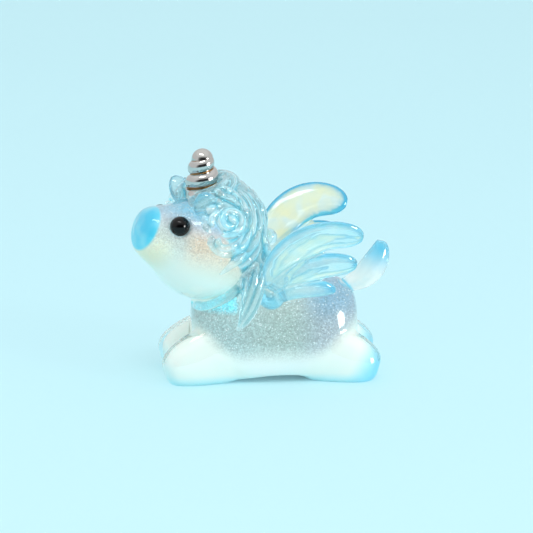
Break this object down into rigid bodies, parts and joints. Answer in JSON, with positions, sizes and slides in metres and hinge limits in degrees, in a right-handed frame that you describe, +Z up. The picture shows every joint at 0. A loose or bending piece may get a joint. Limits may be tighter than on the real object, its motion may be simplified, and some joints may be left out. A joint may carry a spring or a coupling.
{
  "type": "unicorn figurine",
  "caption": "Small lying unicorn figurine with wings, cast in clear and milky tinted resin, with a plated spiral horn and black bead eyes.",
  "frame": {"origin": "on the floor, under the middle of the figurine's box", "axes": "+X from the face to the tail, +Y to the figurine's right side, +Z up"},
  "size_m": [0.0312, 0.0202, 0.0279],
  "materials": {
    "glitter_resin": "gloss, translucent, with fine glitter",
    "milky_resin": "gloss, milky translucent",
    "blue_resin": "gloss, clear blue",
    "clear_resin": "gloss, clear pale blue",
    "plated_metal": "polished",
    "black_bead": "gloss black"
  },
  "bodies": {
    "root": {"torso": "glitter_resin", "head": "glitter_resin", "front_left_leg": "milky_resin", "front_right_leg": "milky_resin", "hind_left_leg": "milky_resin", "hind_right_leg": "milky_resin", "muzzle": "blue_resin", "front_left_hoof": "blue_resin", "front_right_hoof": "blue_resin", "hind_left_hoof": "blue_resin", "hind_right_hoof": "blue_resin", "mane": "clear_resin", "forelock": "clear_resin", "left_ear": "clear_resin", "right_ear": "clear_resin", "left_curl": "clear_resin", "right_curl": "clear_resin", "left_lock": "clear_resin", "right_lock": "clear_resin", "nape_curl": "clear_resin", "left_wing": "clear_resin", "right_wing": "clear_resin", "tail": "clear_resin", "horn": "plated_metal", "left_eye": "black_bead", "right_eye": "black_bead"}
  },
  "joints": []
}
